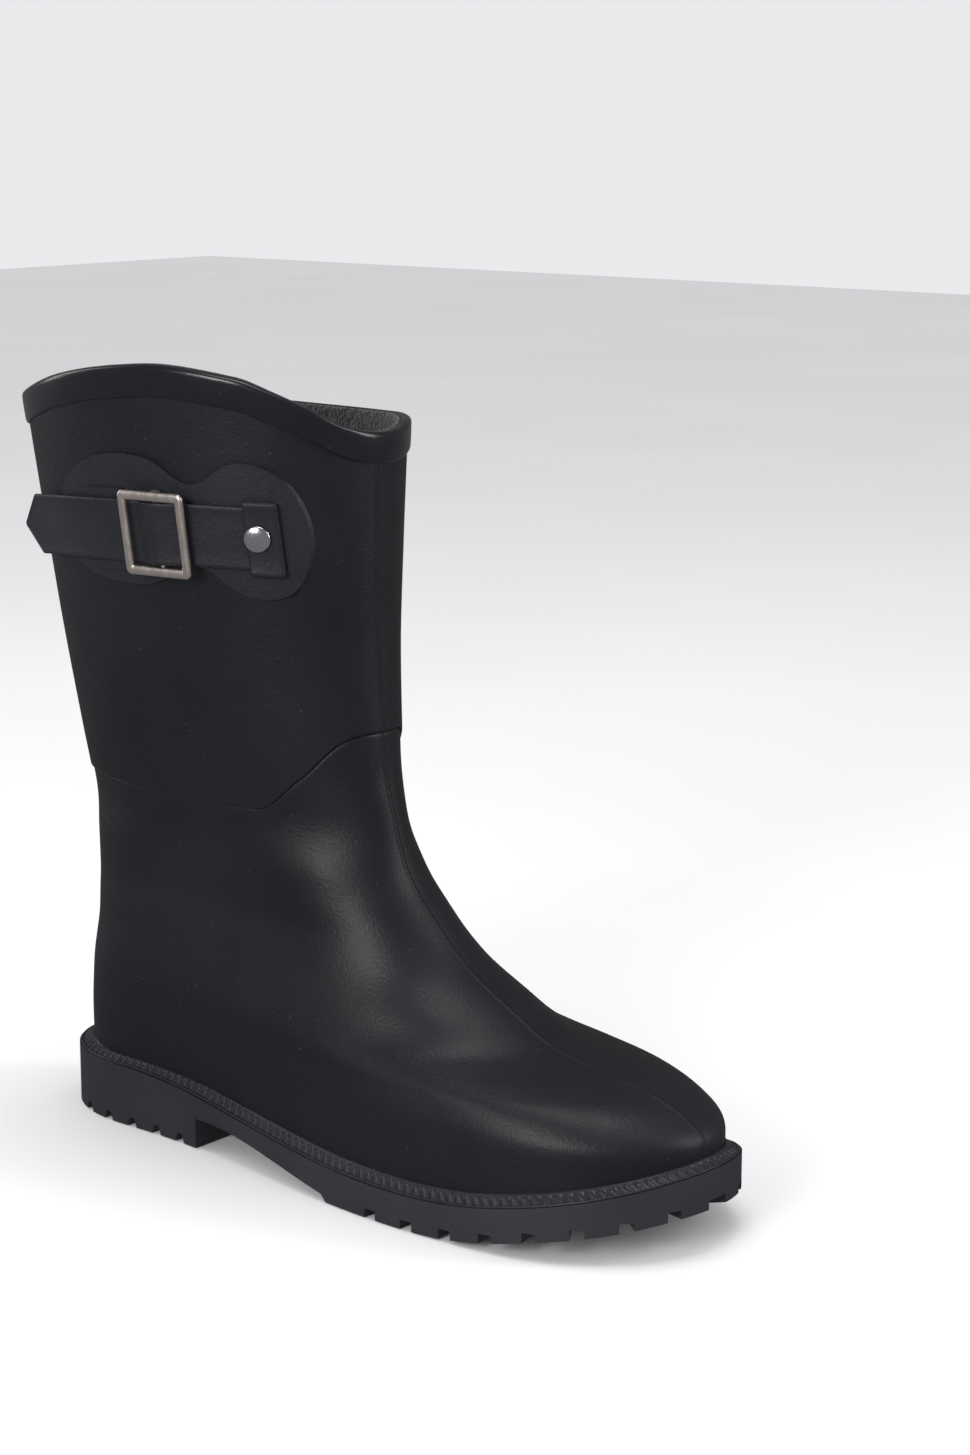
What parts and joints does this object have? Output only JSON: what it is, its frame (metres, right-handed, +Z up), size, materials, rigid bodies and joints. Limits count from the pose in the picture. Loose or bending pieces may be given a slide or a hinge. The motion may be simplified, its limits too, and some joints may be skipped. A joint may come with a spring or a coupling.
{
  "type": "rubber rain boot",
  "caption": "Mid-calf rubber rain boot for the right foot, with a knit lining, lugged sole and a buckled side strap.",
  "frame": {"origin": "on the ground, at the middle of the boot's footprint box", "axes": "+X from the heel to the toe, -Y towards the outer side with the strap, +Z up out of the boot's mouth"},
  "size_m": [0.2876, 0.1197, 0.288],
  "materials": {
    "shell_rubber": "satin black with a slight blue tint",
    "binding_rubber": "glossy black",
    "knit_lining": "black fleecy knit",
    "insole_board": "matt fibre board",
    "footbed_foam": "matt foam",
    "footbed_cloth": "matt cloth",
    "sole_rubber": "matt blue-black",
    "heel_filler": "matt light rubber block",
    "shank_steel": "plain strip steel",
    "welt_rubber": "satin, ribbed",
    "strap_rubber": "matt, faint leather grain",
    "buckle_metal": "pale warm nickel, satin",
    "rivet_metal": "polished"
  },
  "bodies": {
    "boot": {"leg_shell": "shell_rubber", "foot_shell": "shell_rubber", "top_binding": "binding_rubber", "sock_lining": "knit_lining", "insole_board": "insole_board", "footbed_foam": "footbed_foam", "footbed_cover": "footbed_cloth", "outsole": "sole_rubber", "heel_core": "heel_filler", "shank": "shank_steel", "welt_strip": "welt_rubber", "strap_patch": "strap_rubber", "buckle_chape": "strap_rubber", "strap": "strap_rubber", "rivet_cap": "rivet_metal", "rivet_base": "rivet_metal"},
    "buckle": {"buckle_frame": "buckle_metal", "buckle_bar": "buckle_metal"},
    "strap_end": {"strap_tail": "strap_rubber"}
  },
  "joints": [
    {"name": "buckle_rock", "type": "hinge", "parent": "boot", "child": "buckle", "pos_m": [-0.04496, -0.05168, 0.23064], "axis": [0.0226, -0.1646, 0.9861], "range_deg": [-3, 3]},
    {"name": "strap_end_lift", "type": "hinge", "parent": "boot", "child": "strap_end", "pos_m": [-0.06399, -0.05287, 0.23], "axis": [0, -0.1701, 0.9854], "range_deg": [0, 35], "stiffness_Nm_per_rad": 0.02}
  ]
}
